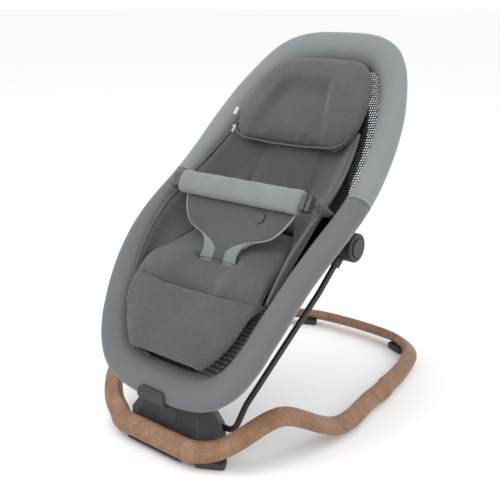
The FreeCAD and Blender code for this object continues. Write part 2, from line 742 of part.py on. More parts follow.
clip_window = box(-clip_half, clip_half, -80, -12, 74, 104)
clip_window = clip_window.makeFillet(9, [e for e in clip_window.Edges
                                         if abs(e.tangentAt(e.FirstParameter).y) > 0.9])
foot_clip = foot_slice(clip_gap + clip_thick).cut(foot_slice(clip_gap)).common(clip_window)
save("foot_clip", foot_clip)

tags = []
for y, z in tag_places:
    tag = box(-tag_width, 0, -0.4, 0.4, -7, 7)
    tag.rotate(V(0, 0, 0), X_AXIS, -40)
    tag.translate(V(tag_outer_x + tag_width, y, z))
    tags.append(tag)
save("sewn_tags", Part.makeCompound(tags))
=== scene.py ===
import math

import bpy
import numpy as np
from mathutils import Matrix, Vector

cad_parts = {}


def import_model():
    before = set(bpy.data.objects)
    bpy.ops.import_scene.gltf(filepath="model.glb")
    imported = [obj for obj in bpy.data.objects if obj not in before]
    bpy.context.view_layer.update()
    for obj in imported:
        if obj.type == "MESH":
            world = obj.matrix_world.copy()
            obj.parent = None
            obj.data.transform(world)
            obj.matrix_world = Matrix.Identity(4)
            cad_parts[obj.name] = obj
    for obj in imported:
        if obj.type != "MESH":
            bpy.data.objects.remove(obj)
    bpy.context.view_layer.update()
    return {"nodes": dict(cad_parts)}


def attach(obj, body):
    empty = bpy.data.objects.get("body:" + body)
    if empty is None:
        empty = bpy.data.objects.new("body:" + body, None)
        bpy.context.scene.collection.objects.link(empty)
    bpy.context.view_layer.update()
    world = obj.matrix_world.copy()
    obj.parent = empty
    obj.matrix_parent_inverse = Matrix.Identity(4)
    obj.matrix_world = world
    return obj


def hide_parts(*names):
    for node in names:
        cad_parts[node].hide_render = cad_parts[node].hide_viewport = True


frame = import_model()

# Lengths below are in millimetres in the drawing's coordinates: Y = 0 above the front feet.
MIDDLE_Y = 259.05
MM = 0.001
RIGHT_LEFT = (("right", 1), ("left", -1))


def world(points):
    """Drawing coordinates in millimetres to the row frame in metres."""
    p = np.array(points, float).reshape(-1, 3)
    return (p - (0, MIDDLE_Y, 0)) * MM


def drawing(points):
    """Row frame in metres to drawing coordinates in millimetres."""
    return np.array(points, float).reshape(-1, 3) / MM + (0, MIDDLE_Y, 0)


# ---- smooth curves ----

class Spline:
    """A cubic with continuous curvature through the points."""

    def __init__(self, points, params=None, closed=False):
        p = np.array(points, float)
        if closed:
            p = np.vstack([p, p[:1]])
        if params is None:
            steps = np.linalg.norm(np.diff(p, axis=0), axis=1)
            params = np.concatenate([[0.0], np.cumsum(steps)])
        t = np.array(params, float)
        h = np.diff(t)
        n = len(p)
        a = np.zeros((n, n))
        b = np.zeros_like(p)
        for i in range(1, n - 1):
            a[i, i - 1] = h[i]
            a[i, i] = 2 * (h[i - 1] + h[i])
            a[i, i + 1] = h[i - 1]
            b[i] = 3 * (h[i] * (p[i] - p[i - 1]) / h[i - 1] + h[i - 1] * (p[i + 1] - p[i]) / h[i])
        if closed:
            a[0, n - 2] = h[0]
            a[0, 0] = 2 * (h[-1] + h[0])
            a[0, 1] = h[-1]
            b[0] = 3 * (h[0] * (p[0] - p[n - 2]) / h[-1] + h[-1] * (p[1] - p[0]) / h[0])
            a[n - 1, n - 1] = 1
            a[n - 1, 0] = -1
        else:
            count = min(4, n)
            for end, idx in ((0, list(range(count))), (n - 1, list(range(n - count, n)))):
                a[end, end] = 1
                for k in range(p.shape[1]):
                    cubic = np.polyfit(t[idx] - t[end], p[idx, k], count - 1)
                    b[end, k] = np.polyder(cubic)[-1]
        self.t, self.p, self.m = t, p, np.linalg.solve(a, b)
        self.length = t[-1]
        self.closed = closed

    def __call__(self, at):
        """(points, derivatives) at the parameters."""
        at = np.atleast_1d(np.array(at, float))
        if self.closed:
            at = np.mod(at, self.length)
        i = np.clip(np.searchsorted(self.t, at, side="right") - 1, 0, len(self.t) - 2)
        step = (self.t[i + 1] - self.t[i])[:, None]
        s = (at - self.t[i])[:, None] / step
        p0, p1, m0, m1 = self.p[i], self.p[i + 1], self.m[i], self.m[i + 1]
        value = ((2 * s**3 - 3 * s**2 + 1) * p0 + (s**3 - 2 * s**2 + s) * step * m0
                 + (3 * s**2 - 2 * s**3) * p1 + (s**3 - s**2) * step * m1)
        slope = ((6 * s**2 - 6 * s) * (p0 - p1) / step + (3 * s**2 - 4 * s + 1) * m0
                 + (3 * s**2 - 2 * s) * m1)
        return value, slope


def table_at(table, at):
    """Smooth values between a table's rows, whose first column is the position."""
    rows = np.array(table, float)
    at = np.atleast_1d(np.array(at, float))
    curve = Spline(rows[:, 1:], rows[:, 0])
    return curve(np.clip(at, rows[0, 0], rows[-1, 0]))[0]


# ---- the seat's own coordinates: fraction along its side profile, x across, h above it ----

profile = Spline([(-2, 103), (126, 281), (236, 357), (356, 465), (449, 570)], [0, 0.25, 0.5, 0.75, 1])


def seat_points(fraction, x=0.0, h=0.0):
    fraction, x, h = np.broadcast_arrays(np.atleast_1d(np.array(fraction, float)), x, h)
    p, d = profile(fraction.ravel())
    d = d / np.linalg.norm(d, axis=1)[:, None]
    x = np.array(x, float).ravel()
    h = np.array(h, float).ravel()
    return np.stack([x, p[:, 0] - d[:, 1] * h, p[:, 1] + d[:, 0] * h], axis=1)


PROFILE_F = np.linspace(-0.08, 1.08, 1161)
PROFILE_P, PROFILE_D = profile(np.clip(PROFILE_F, 0, 1))
PROFILE_P = PROFILE_P + PROFILE_D * (PROFILE_F - np.clip(PROFILE_F, 0, 1))[:, None]
PROFILE_D = PROFILE_D / np.linalg.norm(PROFILE_D, axis=1)[:, None]


def seat_coords(points):
    """(fraction, x, h) of points given in drawing coordinates."""
    p = np.array(points, float).reshape(-1, 3)
    gap = p[:, None, 1:] - PROFILE_P[None]
    along = np.abs((gap * PROFILE_D[None]).sum(2)) + 0.05 * np.linalg.norm(gap, axis=2)
    k = np.argmin(along, axis=1)
    near = gap[np.arange(len(p)), k]
    d = PROFILE_D[k]
    return PROFILE_F[k], p[:, 0], -d[:, 1] * near[:, 0] + d[:, 0] * near[:, 1]


RING_WIDTHS = [(0.02, 108), (0.08, 141), (0.2, 162), (0.34, 173), (0.5, 176), (0.7, 164), (0.86, 133),
               (0.96, 98)]
# fraction, half across, half thick, inward lean in degrees
COVER_SECTIONS = np.array([(0, 30, 17, 28), (0.2, 26, 17, 28), (0.45, 21, 18, 10), (0.6, 21, 18, 10),
                           (0.8, 27, 17, 25), (1, 28, 17, 25)], float)
COLLAR = 0.505

right_side = [seat_points(f, w)[0] for f, w in RING_WIDTHS]
left_side = [seat_points(f, -w)[0] for f, w in reversed(RING_WIDTHS)]
ring = Spline([seat_points(0)[0]] + right_side + [seat_points(1)[0]] + left_side, closed=True)
RING_HEAD = ring.t[len(RING_WIDTHS) + 1]


def ring_frames(at):
    """Centre, direction, widths and axes of the cover's oval at the ring's parameters."""
    centre, along = ring(at)
    along = along / np.linalg.norm(along, axis=1)[:, None]
    fraction = np.clip(seat_coords(centre)[0], 0, 1)
    widths = np.stack([np.interp(fraction, COVER_SECTIONS[:, 0], COVER_SECTIONS[:, k]) for k in (1, 2, 3)], 1)
    slope = profile(fraction)[1]
    up = np.stack([np.zeros(len(slope)), -slope[:, 1], slope[:, 0]], 1)
    outward = np.cross(along, up)
    outward /= np.linalg.norm(outward, axis=1)[:, None]
    flip = np.sign(((centre - seat_points(0.5)) * outward).sum(1))[:, None]
    outward = outward * flip
    up = np.cross(along, outward)
    up = up / np.linalg.norm(up, axis=1)[:, None]
    up = up * np.sign(up[:, 2])[:, None]
    lean = np.radians(widths[:, 2])[:, None]
    major = outward * np.cos(lean) + up * np.sin(lean)
    minor = up * np.cos(lean) - outward * np.sin(lean)
    return centre, widths, major, minor, fraction


# ---- materials ----

class Shader:
    """A short way to write a material's node tree."""

    def __init__(self, name):
        self.material = bpy.data.materials.new(name)
        self.material.use_nodes = True
        self.tree = self.material.node_tree
        self.bsdf = self.tree.nodes["Principled BSDF"]
        self.coords = self.add("ShaderNodeTexCoord").outputs["Object"]

    def add(self, kind, inputs=None, **settings):
        node = self.tree.nodes.new(kind)
        for key, value in settings.items():
            setattr(node, key, value)
        for key, value in (inputs or {}).items():
            self.put(node.inputs[key], value)
        return node

    def put(self, socket, value):
        if isinstance(value, bpy.types.NodeSocket):
            self.tree.links.new(value, socket)
        else:
            socket.default_value = value

    def set(self, **values):
        for key, value in values.items():
            self.put(self.bsdf.inputs[key.replace("_", " ")], value)

    def mapped(self, scale=(1, 1, 1), rotation=(0, 0, 0), source=None):
        return self.add("ShaderNodeMapping", {"Vector": source or self.coords, "Scale": scale,
                                              "Rotation": rotation}).outputs[0]

    def noise(self, scale, detail=3.0, roughness=0.55, source=None, distortion=0.0):
        node = self.add("ShaderNodeTexNoise", {"Vector": source or self.coords, "Scale": scale,
                                               "Detail": detail, "Roughness": roughness,
                                               "Distortion": distortion})
        return node.outputs[0]

    def math(self, operation, a, b=0.0, clamp=False):
        node = self.add("ShaderNodeMath", operation=operation, use_clamp=clamp)
        self.put(node.inputs[0], a)
        self.put(node.inputs[1], b)
        return node.outputs[0]

    def levels(self, factor, low, high, to_low=0.0, to_high=1.0):
        return self.add("ShaderNodeMapRange", {"Value": factor, "From Min": low, "From Max": high,
                                               "To Min": to_low, "To Max": to_high}).outputs[0]

    def mix(self, factor, a, b, blend="MIX"):
        node = self.add("ShaderNodeMixRGB", blend_type=blend)
        for socket, value in zip(node.inputs, (factor, a, b)):
            if isinstance(value, tuple) and len(value) == 3:
                value = (*value, 1)
            self.put(socket, value)
        return node.outputs[0]

    def bump(self, height, strength, distance, normal=None):
        inputs = {"Height": height, "Strength": strength, "Distance": distance}
        if normal is not None:
            inputs["Normal"] = normal
        return self.add("ShaderNodeBump", inputs).outputs[0]


def knit_height(s, pitch, source=None):
    """Rows of small loops: two crossed waves, as a height from 0 to 1."""
    rows = s.add("ShaderNodeTexWave", {"Vector": source or s.coords, "Scale": 0.32 / pitch, "Distortion": 1.2,
                                       "Detail": 1.0, "Detail Scale": 2.0},
                 wave_type="BANDS", bands_direction="X").outputs[0]
    columns = s.add("ShaderNodeTexWave", {"Vector": source or s.coords, "Scale": 0.26 / pitch,
                                          "Distortion": 1.0, "Detail": 1.0},
                    wave_type="BANDS", bands_direction="DIAGONAL").outputs[0]
    return s.math("MULTIPLY", rows, columns)


def fabric(name, dark, light, melange=0.5, pitch=0.0016, rough=0.9, sheen=0.25, blotch=0.12, bump=0.35):
    """A melange knit: two yarn tones mixed at thread size, loops, and slow uneven shading."""
    s = Shader(name)
    thread = s.noise(1500, 2, 0.6, s.mapped((1, 0.35, 0.35), (0.3, 0.2, 0.1)))
    fleck = s.noise(520, 3, 0.7, s.mapped((0.5, 1, 1), (0.1, 0.4, 0.7)))
    mixed = s.math("ADD", s.math("MULTIPLY", thread, 0.55), s.math("MULTIPLY", fleck, 0.45))
    tone = s.levels(mixed, 0.5 - 0.16 / max(melange, 0.05) * 0.5, 0.5 + 0.16 / max(melange, 0.05) * 0.5)
    colour = s.mix(tone, dark, light)
    slow = s.levels(s.noise(14, 4, 0.6), 0.3, 0.7, 1 - blotch, 1 + blotch * 0.6)
    colour = s.mix(1.0, colour, s.add("ShaderNodeCombineColor", {"Red": slow, "Green": slow,
                                                                 "Blue": slow}).outputs[0], "MULTIPLY")
    loops = knit_height(s, pitch)
    height = s.math("ADD", s.math("MULTIPLY", loops, 0.7), s.math("MULTIPLY", thread, 0.5))
    soft = s.bump(s.noise(60, 3, 0.5), 0.25, 0.0012)
    s.set(Base_Color=colour, Roughness=s.levels(fleck, 0.3, 0.7, rough - 0.06, min(rough + 0.06, 1.0)),
          Normal=s.bump(height, bump, 0.0004, soft))
    s.bsdf.inputs["Sheen Weight"].default_value = sheen
    s.bsdf.inputs["Sheen Roughness"].default_value = 0.45
    s.bsdf.inputs["Specular IOR Level"].default_value = 0.2
    return s.material


def spacer_fabric(name, dark, light, holes_to):
    """The ring cover's 3-D knit: fine dimples in staggered rows, deeper near the inner edge, with painted
    shade darkening each dimple.
    """
    s = Shader(name)
    uv = s.add("ShaderNodeUVMap", uv_map="cover").outputs[0]
    spots = s.add("ShaderNodeTexVoronoi", {"Vector": uv, "Scale": 420.0, "Randomness": 0.12},
                  feature="F1").outputs["Distance"]
    round_hole = s.levels(spots, 0.16, 0.4)
    across = s.add("ShaderNodeSeparateXYZ", {"Vector": s.add("ShaderNodeUVMap", uv_map="place").outputs[0]})
    near_edge = s.levels(across.outputs[1], holes_to - 0.05, holes_to + 0.05)
    dimple_depth_and_shade = s.math("MULTIPLY", s.math("SUBTRACT", 1.0, round_hole), s.levels(near_edge, 0, 1, 0.22, 0.85))
    thread = s.noise(1300, 2, 0.6)
    slow = s.noise(11, 4, 0.6)
    base = s.mix(s.levels(thread, 0.32, 0.68), dark, light)
    base = s.mix(s.levels(slow, 0.3, 0.7, 0.0, 0.22), base, tuple(c * 0.75 for c in dark))
    # painted shade: each dimple's colour is pulled towards a quarter of the dark tone
    colour = s.mix(dimple_depth_and_shade, base, tuple(c * 0.25 for c in dark))
    relief = s.math("SUBTRACT", s.math("MULTIPLY", thread, 0.35), dimple_depth_and_shade)
    s.set(Base_Color=colour, Roughness=s.levels(thread, 0.3, 0.7, 0.78, 0.9),
          Normal=s.bump(relief, 0.4, 0.0004, s.bump(s.noise(45, 3, 0.5), 0.2, 0.001)))
    s.bsdf.inputs["Sheen Weight"].default_value = 0.3
    s.bsdf.inputs["Sheen Roughness"].default_value = 0.4
    s.bsdf.inputs["Specular IOR Level"].default_value = 0.25
    return s.material


def open_mesh(name, colour, cell=0.005, hole=0.27):
    """See-through net: staggered holes left open between dark threads."""
    s = Shader(name)
    uv = s.add("ShaderNodeUVMap", uv_map="cover").outputs[0]
    holes = s.add("ShaderNodeTexVoronoi", {"Vector": uv, "Scale": 1 / cell, "Randomness": 0.05},
                  feature="F1").outputs["Distance"]
    solid = s.math("GREATER_THAN", holes, hole)
    thread = s.noise(1800, 2, 0.6)
    s.set(Base_Color=s.mix(s.levels(thread, 0.3, 0.7), tuple(c * 0.6 for c in colour), colour),
          Roughness=s.levels(thread, 0.3, 0.7, 0.6, 0.8), Alpha=solid,
          Normal=s.bump(s.levels(holes, hole, 0.6), 0.6, 0.0006))
    s.bsdf.inputs["Specular IOR Level"].default_value = 0.35
    return s.material


def wood_material(name, dark, light, line):
    """Straight-grained varnished beech: long fine streaks, short pores and slow colour bands."""
    s = Shader(name)
    along = s.mapped((1, 1, 0.05), (math.radians(30.5), 0, 0))
    broad = s.noise(42, 5, 0.62, along, 0.4)
    fine = s.noise(330, 4, 0.7, along, 0.2)
    pores = s.noise(900, 2, 0.5, s.mapped((1, 1, 0.12), (math.radians(30.5), 0, 0)))
    colour = s.mix(s.levels(broad, 0.32, 0.68), dark, light)
    colour = s.mix(s.levels(fine, 0.45, 0.7, 0.0, 0.55), colour, line)
    colour = s.mix(s.levels(pores, 0.6, 0.72, 0.0, 0.4), colour, tuple(c * 0.6 for c in line))
    s.set(Base_Color=colour, Roughness=s.levels(fine, 0.3, 0.7, 0.42, 0.58),
          Normal=s.bump(s.math("ADD", fine, s.math("MULTIPLY", pores, 0.6)), 0.18, 0.0004))
    s.bsdf.inputs["Coat Weight"].default_value = 0.12
    s.bsdf.inputs["Coat Roughness"].default_value = 0.35
    return s.material


def plastic(name, colour, rough=0.55, grain=900, bump=0.25, edge=0.06):
    """Moulded plastic with a fine spark-eroded texture and a painted highlight that lightens its sharp edges.
    """
    s = Shader(name)
    fine = s.noise(grain, 4, 0.6)
    slow = s.noise(22, 4, 0.6)
    # painted highlight: edges picked out by pointiness are mixed towards the colour raised by edge
    edge_pointiness = s.add("ShaderNodeNewGeometry").outputs["Pointiness"]
    edge_highlight = s.levels(edge_pointiness, 0.52, 0.6, 0.0, 1.0)
    base = s.mix(s.levels(slow, 0.3, 0.7), tuple(c * 0.85 for c in colour), tuple(c * 1.15 for c in colour))
    base = s.mix(s.math("MULTIPLY", edge_highlight, 0.5, True), base, tuple(min(c + edge, 1) for c in colour))
    uneven = s.levels(s.math("ADD", fine, slow), 0.7, 1.3, rough - 0.08, rough + 0.08)
    s.set(Base_Color=base, Roughness=uneven,
          Normal=s.bump(fine, bump, 0.00025))
    return s.material


def metal(name, colour, metallic, rough, grain=400, bump=0.1):
    s = Shader(name)
    fine = s.noise(grain, 4, 0.6)
    slow = s.noise(30, 3, 0.6)
    darker, lighter = tuple(c * 0.85 for c in colour), tuple(min(c * 1.1, 1) for c in colour)
    base = s.mix(s.levels(slow, 0.3, 0.7), darker, lighter)
    uneven = s.levels(s.math("ADD", fine, slow), 0.7, 1.3, rough - 0.07, rough + 0.09)
    s.set(Base_Color=base, Roughness=uneven,
          Normal=s.bump(fine, bump, 0.0002))
    s.bsdf.inputs["Metallic"].default_value = metallic
    return s.material


def webbing_material(name, dark, light, pitch=0.0022):
    """Woven tape: a tight diagonal twill."""
    s = Shader(name)
    uv = s.add("ShaderNodeUVMap", uv_map="cover").outputs[0]
    twill = s.add("ShaderNodeTexWave", {"Vector": uv, "Scale": 0.32 / pitch, "Distortion": 0.3},
                  wave_type="BANDS", bands_direction="DIAGONAL").outputs[0]
    thread = s.noise(1400, 2, 0.6)
    colour = s.mix(s.levels(s.math("ADD", s.math("MULTIPLY", twill, 0.5), thread), 0.5, 0.95), dark, light)
    s.set(Base_Color=colour, Roughness=s.levels(thread, 0.3, 0.7, 0.7, 0.88),
          Normal=s.bump(twill, 0.4, 0.0004))
    s.bsdf.inputs["Sheen Weight"].default_value = 0.15
    return s.material


INSERT_DARK, INSERT_LIGHT = (0.066, 0.066, 0.069), (0.106, 0.106, 0.11)
mat_insert = fabric("insert_jersey", INSERT_DARK, INSERT_LIGHT, 0.55)
mat_insert_edge = fabric("insert_piping", (0.085, 0.085, 0.088), (0.13, 0.13, 0.134), 0.5)
mat_harness = fabric("harness_knit", (0.074, 0.08, 0.084), (0.1, 0.107, 0.112), 0.5, bump=0.2, sheen=0.15)
mat_harness_pale = fabric("waist_knit", (0.18, 0.194, 0.201), (0.235, 0.251, 0.259), 0.5, bump=0.2)
mat_piping = fabric("harness_piping", (0.24, 0.255, 0.262), (0.34, 0.356, 0.364), 0.4)
mat_upper = spacer_fabric("cover_upper_knit", (0.2, 0.215, 0.222), (0.255, 0.272, 0.279), 2.0)
mat_lower = spacer_fabric("cover_lower_knit", (0.118, 0.127, 0.133), (0.16, 0.17, 0.177), 0.62)
mat_net = open_mesh("side_net", (0.02, 0.02, 0.022))
mat_net_grey = open_mesh("foot_net", (0.125, 0.135, 0.141), 0.0045, 0.34)
mat_sling = fabric("sling_cloth", (0.012, 0.012, 0.013), (0.035, 0.035, 0.038), 0.6, sheen=0.1)
mat_thread = fabric("seam_thread", (0.03, 0.03, 0.032), (0.06, 0.06, 0.065), 0.4, sheen=0.05)
mat_webbing = webbing_material("strap_webbing", (0.07, 0.078, 0.084), (0.14, 0.152, 0.16))
mat_tag = fabric("tag_ribbon", (0.5, 0.45, 0.36), (0.66, 0.61, 0.5), 0.4, 0.0009)
mat_clip = plastic("clip_rubber", (0.028, 0.029, 0.03), 0.62, 1100, 0.3, 0.02)
mat_wood = wood_material("beech", (0.185, 0.088, 0.04), (0.3, 0.155, 0.078), (0.1, 0.043, 0.019))
mat_dowel = wood_material("raw_beech", (0.5, 0.33, 0.2), (0.62, 0.44, 0.28), (0.4, 0.25, 0.15))
mat_pod = plastic("pod_plastic", (0.03, 0.03, 0.031), 0.6, edge=0.03)
mat_hub = plastic("hub_plastic", (0.014, 0.0145, 0.0155), 0.5, edge=0.02)
mat_button = plastic("button_plastic", (0.018, 0.0185, 0.0195), 0.42, 1200, 0.12, 0.02)
mat_buckle = plastic("buckle_plastic", (0.026, 0.026, 0.028), 0.4, 1200, 0.1, 0.03)
mat_rubber = plastic("foot_rubber", (0.03, 0.03, 0.031), 0.75, 500, 0.35, 0.02)
mat_wire = metal("leg_paint", (0.018, 0.018, 0.019), 0.0, 0.33)
mat_zinc = metal("zinc_steel", (0.62, 0.63, 0.65), 1.0, 0.35)

NODE_MATERIALS = {
    "base_front_hoop": mat_wood, "base_rear_hoop": mat_wood, "leg_coupler": mat_zinc,
    "wood_screws": mat_zinc, "pod_screws": mat_zinc, "hub_screws": mat_zinc,
    "seat_tube_upper": mat_zinc, "seat_tube_lower": mat_zinc, "pod_cover": mat_pod, "pod_floor": mat_pod,
    "bounce_lock_button": mat_pod,
}
for side, _ in RIGHT_LEFT:
    NODE_MATERIALS.update({
        "hoop_dowel_" + side: mat_dowel, "leg_wire_" + side: mat_wire, "button_spring_" + side: mat_zinc,
        "leg_bush_" + side: mat_hub, "hub_inner_" + side: mat_hub, "hub_outer_" + side: mat_hub,
        "lock_gear_" + side: mat_button, "recline_button_" + side: mat_button,
        "foot_front_" + side: mat_rubber, "foot_rear_" + side: mat_rubber,
    })
    NODE_MATERIALS.update({"buckle_tongue_" + side: mat_buckle, "strap_buckle_" + side: mat_buckle})
NODE_MATERIALS.update({"badge_button": mat_button, "foot_clip": mat_clip, "sewn_tags": mat_tag})
for node, material in NODE_MATERIALS.items():
    for material_slot in frame["nodes"][node].material_slots:
        material_slot.material = material


# ---- mesh helpers ----

def add_mesh(name, verts, faces, material, body, smooth=True, subdivide=0):
    mesh = bpy.data.meshes.new(name)
    mesh.from_pydata([tuple(v) for v in verts], [], [tuple(int(i) for i in f) for f in faces])
    mesh.validate()
    obj = bpy.data.objects.new(name, mesh)
    bpy.context.scene.collection.objects.link(obj)
    return finish_piece(obj, material, body, smooth, subdivide)


def finish_piece(obj, material, body, smooth=True, subdivide=0):
    obj.data.materials.clear()
    obj.data.materials.append(material)
    if smooth:
        obj.data.polygons.foreach_set("use_smooth", [True] * len(obj.data.polygons))
    if subdivide:
        modifier = obj.modifiers.new("rounding", "SUBSURF")
        modifier.levels = subdivide
        modifier.render_levels = subdivide
    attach(obj, body)
    return obj


def grid_faces(rows, columns, wrap_rows=False, wrap_columns=False):
    faces = []
    for i in range(rows - (0 if wrap_rows else 1)):
        for j in range(columns - (0 if wrap_columns else 1)):
            i1 = (i + 1) % rows
            j1 = (j + 1) % columns
            faces.append((i * columns + j, i * columns + j1, i1 * columns + j1, i1 * columns + j))
    return faces


def slab_faces(rows, columns):
    """Two grids of points, one over the other, closed all round their rim."""
    size = rows * columns
    top = grid_faces(rows, columns)
    low = [tuple(size + k for k in face[::-1]) for face in top]
    rim = ([j for j in range(columns)] + [i * columns + columns - 1 for i in range(1, rows)]
           + [(rows - 1) * columns + j for j in range(columns - 2, -1, -1)]
           + [i * columns for i in range(rows - 2, 0, -1)])
    return top + low + [(a, b, size + b, size + a) for a, b in zip(rim, rim[1:] + rim[:1])]


def capped_faces(rows, around):
    """A tube of rings with both ends closed."""
    faces = grid_faces(rows, around, wrap_columns=True)
    faces.append(tuple(range(around))[::-1])
    faces.append(tuple(range((rows - 1) * around, rows * around)))
    return faces


def set_uv(obj, name, values, around=0, girths=None):
    """One UV per vertex, copied to each corner. A tube's last strip of faces runs on to its full girth."""
    layer = obj.data.uv_layers.new(name=name)
    corner_vertex = np.zeros(len(obj.data.loops), np.int32)
    obj.data.loops.foreach_get("vertex_index", corner_vertex)
    uv = np.array(values, float)[corner_vertex]
    if around:
        quads = corner_vertex[: 4 * (len(girths) - 1) * around].reshape(-1, 4)
        last = (quads % around == around - 1).any(axis=1)[:, None] & (quads % around == 0)
        row, corner = np.nonzero(last)
        uv[row * 4 + corner, 1] = np.array(girths)[quads[last] // around]
    layer.data.foreach_set("uv", uv.ravel())


def fix_normals(obj):
    """Turn every face outwards."""
    import bmesh
    work = bmesh.new()
    work.from_mesh(obj.data)
    bmesh.ops.recalc_face_normals(work, faces=work.faces)
    work.to_mesh(obj.data)
    work.free()


def tube(name, points, radius, material, body, closed=False, resolution=3):
    """A round cord of stitching or piping along points in drawing coordinates."""
    curve = bpy.data.curves.new(name, "CURVE")
    curve.dimensions = "3D"
    curve.bevel_depth = radius * MM
    curve.bevel_resolution = resolution
    curve.use_fill_caps = True
    spline = curve.splines.new("POLY")
    at = world(points)
    spline.points.add(len(at) - 1)
    for point, place in zip(spline.points, at):
        point.co = (*place, 1)
    spline.use_cyclic_u = closed
    obj = bpy.data.objects.new(name, curve)
    bpy.context.scene.collection.objects.link(obj)
    curve.materials.append(material)
    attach(obj, body)
    return obj


def seat_line(stations, count=60):
    """A smooth run of points through (fraction, x, h) stations."""
    curve = Spline(stations)
    f, x, h = curve(np.linspace(0, curve.length, count))[0].T
    return seat_points(f, x, h)


def smooth_step(low, high, value):
    s = np.clip((value - low) / (high - low), 0, 1)
    return s * s * (3 - 2 * s)


def wrinkle(points, scale, stretch=(1, 1, 1), offset=0.0):
    """Repeatable soft noise from -1 to 1."""
    from mathutils import noise
    return np.array([noise.noise(Vector((p[0] * scale * stretch[0] + offset, p[1] * scale * stretch[1],
                                         p[2] * scale * stretch[2]))) for p in points])


# ---- ring cover ----

def collar_parameter(side):
    """Where the two covers meet on one side."""
    at = np.linspace(0, RING_HEAD, 600) if side > 0 else np.linspace(ring.length, RING_HEAD, 600)
    fraction = seat_coords(ring(at)[0])[0]
    return float(np.interp(COLLAR, fraction, at))


AROUND = 40


def ring_cover(name, node, start, end, material):
    rows = 150
    at = np.linspace(start, end, rows)
    # the last millimetres at each collar curl in to a turned edge
    at[1] = start + (end - start) * 0.0012
    at[-2] = end - (end - start) * 0.0012
    at[2] = start + (end - start) * 0.005
    at[-3] = end - (end - start) * 0.005
    centre, widths, major, minor, fraction = ring_frames(at)
    angles = 2 * np.pi * np.arange(AROUND) / AROUND
    verts = []
    cover_uv = []
    place_uv = []
    girths = []
    shrink = np.ones(rows)
    shrink[0] = shrink[-1] = 0.9
    shrink[1] = shrink[-2] = 0.965
    for i in range(rows):
        c, s = np.cos(angles), np.sin(angles)
        ring_points = (centre[i] + np.outer(c, major[i]) * widths[i, 0] * shrink[i]
                       + np.outer(s, minor[i]) * widths[i, 1] * shrink[i])
        fold = wrinkle(ring_points, 0.035, (1, 1, 1), 3.1) * 0.7
        near_bend = (0.35 + 0.65 * smooth_step(0.30, 0.0, fraction[i])
                     + 0.5 * smooth_step(0.75, 1.0, fraction[i]))
        normal = np.outer(c / widths[i, 0], major[i]) + np.outer(s / widths[i, 1], minor[i])
        normal /= np.linalg.norm(normal, axis=1)[:, None]
        ring_points = ring_points + normal * (fold * near_bend)[:, None]
        verts.append(ring_points)
        girth = 2 * np.pi * (widths[i, 0] + widths[i, 1]) / 2
        girths.append(girth * MM)
        cover_uv.append(np.stack([np.full(AROUND, at[i] * MM), angles / (2 * np.pi) * girth * MM], 1))
        inner = 0.5 - 0.5 * c
        place_uv.append(np.stack([np.full(AROUND, fraction[i]), inner * smooth_step(-0.6, 0.2, s)], 1))
    verts = np.concatenate(verts)
    faces = capped_faces(rows, AROUND)
    obj = add_mesh(name, world(verts), faces, material, "seat")
    fix_normals(obj)
    set_uv(obj, "cover", np.concatenate(cover_uv), AROUND, girths)
    set_uv(obj, "place", np.concatenate(place_uv))
    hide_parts(node)
    return obj


right_collar = collar_parameter(1)
left_collar = collar_parameter(-1)
ring_cover("ring_cover_upper_soft", "ring_cover_upper", right_collar, left_collar, mat_upper)
ring_cover("ring_cover_lower_soft", "ring_cover_lower", left_collar, right_collar + ring.length, mat_lower)


def collar_piping(name, at, lift, radius, material):
    angles = np.linspace(0, 2 * np.pi, 48, endpoint=False)
    centre, widths, major, minor, _ = ring_frames([at])
    loop = (centre + np.outer(np.cos(angles), major[0]) * (widths[0, 0] + lift)
            + np.outer(np.sin(angles), minor[0]) * (widths[0, 1] + lift))
    return tube(name, loop, radius, material, "seat", closed=True)


for side, sign in RIGHT_LEFT:
    at = right_collar if sign > 0 else left_collar
    collar_piping("collar_welt_" + side, at + sign * 1.2, -0.7, 1.3, mat_piping)
    collar_piping("collar_stitch_" + side, at - sign * 4.5, -0.15, 0.35, mat_thread)


# ---- padded pieces swollen by cloth simulation ----

def fabric_from_node(name, node, voxel=5.0, inset=1.5, pressure=4.0, cap=6.0, smooth=2):
    """A remeshed copy of a soft CAD solid, swollen by Cloth pressure and kept within the cap."""
    mesh = frame["nodes"][node].data.copy()
    obj = bpy.data.objects.new(name, mesh)
    bpy.context.scene.collection.objects.link(obj)
    remesh = obj.modifiers.new("remesh", "REMESH")
    remesh.mode = "VOXEL"
    remesh.voxel_size = voxel * MM
    apply_modifiers(obj)
    start = get_coords(obj)
    normals = get_normals(obj)
    start = start - normals * inset * MM
    set_coords(obj, start)
    if smooth:
        soften = obj.modifiers.new("soften", "SMOOTH")
        soften.factor = 0.5
        soften.iterations = smooth
        apply_modifiers(obj)
        start = get_coords(obj)
    cloth = obj.modifiers.new("cloth", "CLOTH")
    settings = cloth.settings
    settings.quality = 5
    settings.use_pressure = True
    settings.uniform_pressure_force = pressure
    settings.effector_weights.gravity = 0
    settings.tension_stiffness = 15
    settings.compression_stiffness = 12
    settings.shear_stiffness = 8
    settings.bending_stiffness = 3.0
    cloth.collision_settings.use_collision = False
    cloth.point_cache.frame_start = 1
    cloth.point_cache.frame_end = 20
    for number in range(1, 21):
        bpy.context.scene.frame_set(number)
    apply_modifiers(obj)
    bpy.context.scene.frame_set(1)
    moved = get_coords(obj) - start
    distance = np.linalg.norm(moved, axis=1)
    keep = np.minimum(1, cap * MM / np.maximum(distance, 1e-9))[:, None]
    set_coords(obj, start + moved * keep)
    return obj


def apply_modifiers(obj):
    bpy.context.view_layer.update()
    graph = bpy.context.evaluated_depsgraph_get()
    mesh = bpy.data.meshes.new_from_object(obj.evaluated_get(graph))
    obj.modifiers.clear()
    obj.data = mesh


